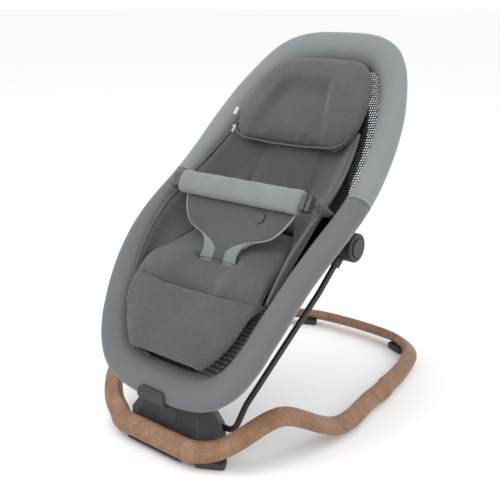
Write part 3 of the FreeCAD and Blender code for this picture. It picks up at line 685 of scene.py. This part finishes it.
def get_coords(obj):
    co = np.zeros(len(obj.data.vertices) * 3)
    obj.data.vertices.foreach_get("co", co)
    return co.reshape(-1, 3)


def get_normals(obj):
    normals = np.zeros(len(obj.data.vertices) * 3)
    obj.data.vertices.foreach_get("normal", normals)
    return normals.reshape(-1, 3)


def set_coords(obj, co):
    obj.data.vertices.foreach_set("co", np.array(co, float).ravel())
    obj.data.update()


def reshape_on_seat(obj, change):
    """Move every vertex to change(fraction, x, h) in the seat's own coordinates."""
    set_coords(obj, world(seat_points(*change(*seat_coords(drawing(get_coords(obj)))))))


def groove(distance, width, depth):
    return -depth * np.exp(-(distance / width) ** 2)


# foot flap: a flat cushion with a rounded lower edge
flap = fabric_from_node("foot_flap_soft", "foot_flap", 4.5, 1.2, 4.0, 4.0)


def front_bow(x):
    """The crease between flap and seat pad dips in the middle."""
    return -0.010 * (1 - np.minimum(np.abs(x) / 130, 1) ** 2)


def flap_shape(f, x, h):
    """Lifted to a rim that stands above the ring, and carried up to meet the seat pad in a crease."""
    top = smooth_step(0, 8, h)
    dimple = wrinkle(np.stack([f * 500, x, h], 1), 0.022, (1, 1, 0.2), 7.7) * 1.2
    lift = (7.0 + 5.0 * smooth_step(0.06, 0.13, f)) * smooth_step(-6, 6, h)
    tuck = -6.0 * smooth_step(0.132, 0.150, f)
    bow = front_bow(x) * smooth_step(0.08, 0.15, f)
    return f + 0.008 * smooth_step(0.10, 0.15, f) + bow, x * 1.03, h + lift + dimple * top + tuck


reshape_on_seat(flap, flap_shape)
finish_piece(flap, mat_insert, "seat", True, 1)
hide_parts("foot_flap")

seat_cushion = fabric_from_node("seat_pad_soft", "seat_pad", 4.5, 1.2, 4.0, 5.0)


def seat_shape(f, x, h):
    """A rounded front roll that hangs over the flap's crease and dips where the crotch strap goes in."""
    wave = wrinkle(np.stack([f * 500, x, h], 1), 0.02, (1, 1, 0.3), 1.3) * 1.5
    top = smooth_step(-14, 0, h)
    by_strap = np.exp(-(np.abs(x) / 44) ** 4)
    roll = 12.0 * top * smooth_step(0.25, 0.18, f) * (1 - 0.85 * by_strap)
    forward = (front_bow(x) - 0.012) * smooth_step(0.21, 0.155, f)
    return f + forward, x * 1.03, h + wave * smooth_step(-40, -10, h) + roll


reshape_on_seat(seat_cushion, seat_shape)
finish_piece(seat_cushion, mat_insert, "seat", True, 1)
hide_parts("seat_pad")

back_cushion = fabric_from_node("back_pad_soft", "back_pad", 5.0, 1.2, 4.0, 5.0)
BACK_SEAM_X = 60.0


def back_shape(f, x, h):
    """Two long sewn channels."""
    on_top = smooth_step(-44, -36, h)
    return f, x, h + on_top * groove(np.abs(x) - BACK_SEAM_X, 4.0, 3.5)


reshape_on_seat(back_cushion, back_shape)
finish_piece(back_cushion, mat_insert, "seat", True, 1)
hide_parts("back_pad")

pillow = fabric_from_node("headrest_pillow_soft", "headrest_pillow", 4.5, 1.5, 4.0, 5.0)
RECESS = [(0.62, 70), (0.66, 68), (0.79, 43), (0.80, 42)]
# fraction along the seat and depth of the hollow for the head
RECESS_DEPTH = [(0.64, 6.0), (0.78, 16.0)]


def pillow_shape(f, x, h):
    """A trapezoid hollow for the head, open to the lower edge, with rolled sides."""
    half = np.interp(f, [r[0] for r in RECESS], [r[1] for r in RECESS])
    inside = smooth_step(15, -5, np.abs(x) - half) * smooth_step(0.835, 0.785, f)
    on_top = smooth_step(4, 18, h)
    depth = np.interp(f, [r[0] for r in RECESS_DEPTH], [r[1] for r in RECESS_DEPTH])
    return f, x, h - depth * inside * on_top


reshape_on_seat(pillow, pillow_shape)
finish_piece(pillow, mat_insert, "seat", True, 1)
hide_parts("headrest_pillow")


# fraction, x and h of the pillow's lower welt, from the middle outwards
PILLOW_WELT = [(0.637, 0, 13), (0.637, 40, 14), (0.638, 75, 17), (0.643, 98, 19), (0.658, 112, 22)]
welt = [(f, -x, h) for f, x, h in reversed(PILLOW_WELT[1:])] + PILLOW_WELT
tube("pillow_welt", seat_line(welt, 90), 1.5, mat_insert_edge, "seat")


# ---- side wings: from the ring down to the seat and back pads ----

# fraction, outer x, outer h, inner x, inner h
WINGS = [(0.15, 133, 8, 121, -6), (0.2, 137, 13, 117, -12), (0.27, 140, 17, 107, -21),
         (0.36, 142, 19, 90, -32), (0.42, 142, 19, 72, -35), (0.46, 142, 19, 64, -33),
         (0.56, 138, 15, 63, -27), (0.64, 130, 12, 63, -15), (0.7, 121, 11, 63, -7)]


def wing(side, sign):
    rows, steps = 70, 14
    fractions = np.linspace(0.152, 0.698, rows)
    outer_x, outer_h, inner_x, inner_h = table_at(WINGS, fractions).T
    verts = []
    for i in range(rows):
        a = np.array([inner_x[i], inner_h[i]])
        b = np.array([outer_x[i], outer_h[i]])
        run = b - a
        length = np.linalg.norm(run)
        along = run / length
        normal = np.array([-along[1], along[0]])
        ends = (smooth_step(0, 0.06, (fractions[i] - 0.15) / 0.55)
                * smooth_step(0, 0.06, (0.70 - fractions[i]) / 0.55))
        s = np.linspace(0, 1, steps)
        bulge = -7.0 * np.sin(np.pi * s) * ends
        half = (3.0 + 3.0 * s) * (0.35 + 0.65 * ends)
        half = half * np.sqrt(np.maximum(1 - (2 * s - 1) ** 8, 0))
        top = a + np.outer(s, run) + np.outer(bulge + half, normal)
        low = a + np.outer(s, run) + np.outer(bulge - half, normal)
        loop = np.concatenate([top, low[-2:0:-1]])
        verts.append(seat_points(fractions[i], sign * loop[:, 0], loop[:, 1]))
    verts = np.concatenate(verts)
    around = 2 * steps - 2
    faces = capped_faces(rows, around)
    obj = add_mesh("side_wing_" + side, world(verts), faces, mat_insert, "seat", True, 1)
    fix_normals(obj)
    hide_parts("side_bolster_" + side)
    f = np.linspace(0.156, 0.694, 80)
    ox, oh, _, _ = table_at(WINGS, f).T
    tube("wing_piping_" + side, seat_points(f, sign * (ox + 1.0), oh + 2.0), 2.2, mat_insert_edge, "seat")


for side, sign in RIGHT_LEFT:
    wing(side, sign)


# ---- sling under the pads, and the net between pads and ring ----

# the last rows carry the near-black cloth up to the ring's top at the head, a dark sheet that paints the
# shadow between pillow and ring
# fraction, half width, depth of the sag, h of the rim
SLING = [(0.004, 74, 1, -4), (0.03, 100, 5, -8), (0.06, 116, 12, -10), (0.1, 128, 26, -12),
         (0.18, 142, 44, -12), (0.3, 150, 56, -12), (0.45, 154, 62, -8), (0.6, 150, 58, -8),
         (0.75, 132, 50, -12), (0.88, 98, 32, -14), (0.955, 70, 8, -12)]
# the profile's length in metres, for the weave's scale
PROFILE_METRES = 0.66
SLING_THICK = 2.4


def sling_mesh():
    rows, columns = 80, 41
    fractions = np.linspace(SLING[0][0], SLING[-1][0], rows)
    half, depth, rim = table_at(SLING, fractions).T
    # beside the head the cloth stops under the pads, where the net begins
    narrow = smooth_step(0.5, 0.62, fractions) * smooth_step(0.955, 0.9, fractions)
    half = half - 26 * narrow
    steep = 4 + 6 * narrow
    layers = []
    uvs = []
    for drop in (0.0, SLING_THICK):
        for i in range(rows):
            x = half[i] * np.linspace(-1, 1, columns)
            h = rim[i] - depth[i] * (1 - np.abs(x / half[i]) ** steep[i]) - drop
            layers.append(seat_points(fractions[i], x, h))
            uvs.append(np.stack([x * MM, np.full(columns, fractions[i] * PROFILE_METRES)], 1))
    verts = np.concatenate(layers)
    obj = add_mesh("seat_sling_cloth", world(verts), slab_faces(rows, columns), mat_sling, "seat")
    fix_normals(obj)
    set_uv(obj, "cover", np.concatenate(uvs))
    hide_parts("seat_sling")
    return obj, np.concatenate(layers[:rows]), rows, columns

# the last rows run the dark net across the head end to the middle, painted shadow between the pillow top and
# the ring
# fraction, inner x, inner h, outer x, outer h
NET = [(0.44, 132, 2, 158, 2), (0.56, 124, 0, 157, 2), (0.64, 112, -3, 148, 2),
       (0.71, 100, -6, 140, 1), (0.78, 88, -8, 128, 0), (0.85, 62, -9, 112, -2),
       (0.9, 40, -10, 98, -4), (0.935, 16, -10, 84, -5), (0.965, 0, -10, 66, -5)]
FLAP_NET = [(0.012, 36, -2, 66, 5), (0.035, 60, -2, 93, 6), (0.06, 84, -2, 112, 7), (0.1, 102, -3, 129, 8),
            (0.135, 112, -5, 138, 8), (0.17, 118, -8, 145, 7)]


def net_strip(name, table, sign, bow, material):
    rows, columns = 40, 7
    fractions = np.linspace(table[0][0], table[-1][0], rows)
    ix, ih, ox, oh = table_at(table, fractions).T
    verts = []
    uvs = []
    for i in range(rows):
        s = np.linspace(0, 1, columns)
        x = ix[i] + (ox[i] - ix[i]) * s
        h = ih[i] + (oh[i] - ih[i]) * s + bow * np.sin(np.pi * s)
        verts.append(seat_points(fractions[i], sign * x, h))
        uvs.append(np.stack([x * MM, np.full(columns, fractions[i] * PROFILE_METRES)], 1))
    obj = add_mesh(name, world(np.concatenate(verts)), grid_faces(rows, columns), material, "seat")
    set_uv(obj, "cover", np.concatenate(uvs))


sling_mesh()
for side, sign in RIGHT_LEFT:
    net_strip("head_net_" + side, NET, sign, -2.0, mat_net)
    net_strip("flap_net_" + side, FLAP_NET, sign, -1.5, mat_net_grey)


# ---- harness ----

WAIST_Y, WAIST_Z, WAIST_HALF, WAIST_HEIGHT, WAIST_DEPTH = 173.0, 365.0, 123.0, 38.0, 24.0
CROTCH = np.array([0.0, 112.0, 250.0])
slope_vector = np.array([0.0, WAIST_Y, WAIST_Z - WAIST_HEIGHT / 2]) - CROTCH
PANEL_LENGTH = float(np.linalg.norm(slope_vector))
PANEL_UP = slope_vector / PANEL_LENGTH
PANEL_OUT = np.array([0.0, -PANEL_UP[2], PANEL_UP[1]])
CROTCH_HALF, PANEL_START = 36.0, 18.0
# how far up the panel its edge piping begins
PIPING_START = 44.0


def panel_points(x, up, out):
    """Points at x across, up from the crotch along the harness panel, and out from its middle plane."""
    x, up, out = np.broadcast_arrays(np.atleast_1d(np.array(x, float)), up, out)
    flat = np.outer(up.ravel(), PANEL_UP) + np.outer(out.ravel(), PANEL_OUT) + CROTCH
    flat[:, 0] = x.ravel()
    return flat


panel_edge = Spline([(CROTCH_HALF, PANEL_START), (CROTCH_HALF - 2, 30), (46, 52), (78, 66),
                     (WAIST_HALF - 22, PANEL_LENGTH - 22), (WAIST_HALF - 14, PANEL_LENGTH - 1)])


def flat_strip(name, left, right, thick, out_axis, material, body, edge=0.4):
    """A flat tape between two rows of points, with a thickness along out_axis."""
    left, right = np.array(left), np.array(right)
    rows, columns = len(left), 9
    out_axis = np.array(out_axis, float)
    out_axis = np.broadcast_to(out_axis, (rows, 3))
    layers = []
    uvs = []
    run = np.concatenate([[0], np.cumsum(np.linalg.norm(np.diff(left, axis=0), axis=1))])
    width = np.linalg.norm(right[0] - left[0])
    for sign in (1, -1):
        for i in range(rows):
            s = np.linspace(0, 1, columns)[:, None]
            fall = 1 - edge * np.abs(2 * s - 1) ** 8
            layers.append(left[i] + (right[i] - left[i]) * s + out_axis[i] * sign * thick / 2 * fall)
            uvs.append(np.stack([s[:, 0] * width * MM, np.full(columns, run[i] * MM)], 1))
    obj = add_mesh(name, world(np.concatenate(layers)), slab_faces(rows, columns), material, body)
    fix_normals(obj)
    set_uv(obj, "cover", np.concatenate(uvs))
    return obj


def harness_panel():
    columns = 33
    edge = panel_edge(np.linspace(0, panel_edge.length, 400))[0]
    order = np.argsort(edge[:, 1])
    ups = np.concatenate([np.linspace(PANEL_START, 48, 14), np.linspace(49.5, 70, 16),
                          np.linspace(73, PANEL_LENGTH - 1, 14)])
    halves = np.interp(ups, edge[order, 1], edge[order, 0])
    layers = []
    for half_thick in (2.2, -2.2):
        for up, half in zip(ups, halves):
            x = half * np.linspace(-1, 1, columns)
            belly = 2.5 * np.sin(np.pi * np.clip((up - PANEL_START) / (PANEL_LENGTH - PANEL_START), 0, 1))
            puff = 1.2 * np.cos(np.pi / 2 * np.linspace(-1, 1, columns) ** 4) * np.sign(half_thick)
            out = half_thick * 0.7 + puff * 0.8 + belly * (1 - (x / 130) ** 2) * 0.5
            layers.append(panel_points(x, up, out))
    verts = np.concatenate(layers)
    rows = len(ups)
    obj = add_mesh("harness_panel_cloth", world(verts), slab_faces(rows, columns), mat_harness, "harness")
    fix_normals(obj)
    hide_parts("harness_panel")
    whole = panel_edge(np.linspace(0, panel_edge.length, 70))[0]
    climbing = whole[np.argsort(whole[:, 1])]
    line = whole[whole[:, 1] > PIPING_START]
    for side, sign in RIGHT_LEFT:
        tube("panel_piping_" + side, panel_points(sign * (line[:, 0] + 0.4), line[:, 1], 0.6), 1.7,
             mat_piping, "harness")
        # pale webbing that runs up each side of the neck and narrows to nothing under the piping
        up = np.linspace(PANEL_START - 1.5, 59, 26)
        outer = np.interp(up, climbing[:, 1], climbing[:, 0]) + 0.6
        inner = 11 + (outer - 12) * smooth_step(30, 60, up)
        out = 2.7 + 1.2 * np.sin(np.pi * (up - PANEL_START) / (PANEL_LENGTH - PANEL_START))
        flat_strip("neck_webbing_" + side, panel_points(sign * outer, up, out),
                   panel_points(sign * inner, up, out), 0.8, PANEL_OUT, mat_harness_pale, "harness")


harness_panel()


def waist_roll():
    """A soft roll whose ends are gathered flat."""
    rows, around = 60, 32
    xs = WAIST_HALF * np.sin(np.linspace(-np.pi / 2, np.pi / 2, rows))
    angles = 2 * np.pi * np.arange(around) / around
    across = np.array([0.0, PANEL_UP[2], -PANEL_UP[1]])
    verts = []
    for x in xs:
        end = WAIST_HALF - abs(x)
        close = math.sqrt(max(1 - (1 - min(end / 5.0, 1)) ** 2, 0.0)) if end < 5.0 else 1.0
        close = max(close, 0.55)
        c = np.sign(np.cos(angles)) * np.abs(np.cos(angles)) ** 0.85
        s = np.sign(np.sin(angles)) * np.abs(np.sin(angles)) ** 0.85
        centre = np.array([x, WAIST_Y, WAIST_Z])
        loop = (centre + np.outer(c, PANEL_UP) * WAIST_HEIGHT / 2 * close
                + np.outer(s, across) * WAIST_DEPTH / 2 * close)
        normal = np.outer(c, PANEL_UP) + np.outer(s, across)
        crease = -0.9 * math.exp(-((abs(x) - 92.0) / 2.2) ** 2)
        verts.append(loop + normal * (crease + 0.5 * wrinkle(loop, 0.05, (1, 1, 1), 5.0))[:, None])
    verts = np.concatenate(verts)
    faces = capped_faces(rows, around)
    obj = add_mesh("waist_roll_soft", world(verts), faces, mat_harness_pale, "harness")
    fix_normals(obj)
    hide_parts("waist_tube")


waist_roll()


STRAP_DEPTH = 26.0
ups = np.linspace(-STRAP_DEPTH, PANEL_START - 0.6, 14)
crotch = flat_strip("crotch_strap_cloth", panel_points(-CROTCH_HALF, ups, 0),
                    panel_points(CROTCH_HALF, ups, 0), 4.4, PANEL_OUT, mat_harness_pale, "seat")
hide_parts("crotch_strap")
flat_strip("crotch_centre_tape", panel_points(-11.0, ups, 2.6), panel_points(11.0, ups, 2.6), 1.0, PANEL_OUT,
           mat_harness, "seat")


# webbing from each waist buckle to the ring
STRAP_HALF = 9.5
SIDE_STRAP = [(141, 181, 364), (145, 187, 358), (147.5, 195, 350.5), (148.5, 203, 344)]
for side, sign in RIGHT_LEFT:
    run = Spline(SIDE_STRAP)
    points, slopes = run(np.linspace(0, run.length, 16))
    slopes = slopes / np.linalg.norm(slopes, axis=1)[:, None]
    facing = np.cross(slopes, np.array([0.35, -0.66, -0.66]))
    facing /= np.linalg.norm(facing, axis=1)[:, None]
    wide = np.cross(facing, slopes)
    mirror = np.array([sign, 1, 1])
    tape = flat_strip("side_strap_tape_" + side, (points - facing * STRAP_HALF) * mirror,
                      (points + facing * STRAP_HALF) * mirror, 1.8, wide * mirror, mat_webbing, "seat")
    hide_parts("side_strap_" + side)


# ---- floor, light and camera ----

def stage_floor():
    mesh = bpy.data.meshes.new("floor")
    reach = 80.0
    mesh.from_pydata([(-reach, -reach, 0), (reach, -reach, 0), (reach, reach, 0), (-reach, reach, 0)], [],
                     [(0, 1, 2, 3)])
    obj = bpy.data.objects.new("floor", mesh)
    bpy.context.scene.collection.objects.link(obj)
    s = Shader("floor_paper")
    tone = s.levels(s.noise(3, 2, 0.5), 0.3, 0.7, 0.95, 0.965)
    s.set(Base_Color=s.add("ShaderNodeCombineColor", {"Red": tone, "Green": tone, "Blue": tone}).outputs[0])
    s.bsdf.inputs["Roughness"].default_value = 0.95
    s.bsdf.inputs["Specular IOR Level"].default_value = 0.0
    mesh.materials.append(s.material)


stage_floor()


def area_light(name, place, target, size, power, colour=(1, 1, 1)):
    data = bpy.data.lights.new(name, "AREA")
    data.shape = "DISK"
    data.size = size
    data.energy = power
    data.color = colour
    obj = bpy.data.objects.new(name, data)
    obj.location = place
    obj.rotation_euler = (Vector(target) - Vector(place)).to_track_quat("-Z", "Y").to_euler()
    bpy.context.scene.collection.objects.link(obj)


area_light("key", (-1.2, -1.6, 2.4), (0, 0, 0.3), 2.2, 30)
area_light("fill", (2.2, -1.2, 1.6), (0, 0, 0.3), 2.5, 15)
area_light("rim", (1.4, 1.8, 2.2), (0, 0, 0.4), 1.6, 16)

studio = bpy.data.worlds.new("studio")
studio.use_nodes = True
studio.node_tree.nodes["Background"].inputs["Color"].default_value = (1, 1, 1, 1)
studio.node_tree.nodes["Background"].inputs["Strength"].default_value = 1.0
bpy.context.scene.world = studio
bpy.context.scene.view_settings.view_transform = "Standard"

camera_data = bpy.data.cameras.new("camera")
camera_data.lens = 56.16
camera_data.sensor_width = 36.0
camera_data.clip_start = 0.05
camera = bpy.data.objects.new("camera", camera_data)
right_axis = Vector((0.7731, 0.6343, 0.0)).normalized()
back_axis = Vector((0.6048, -0.7371, 0.3013)).normalized()
up_axis = back_axis.cross(right_axis).normalized()
camera.matrix_world = Matrix.Translation((0.7683, -0.7371 - MIDDLE_Y * MM, 0.645)) @ Matrix(
    (right_axis, up_axis, back_axis)).transposed().to_4x4()
bpy.context.scene.collection.objects.link(camera)
bpy.context.scene.camera = camera
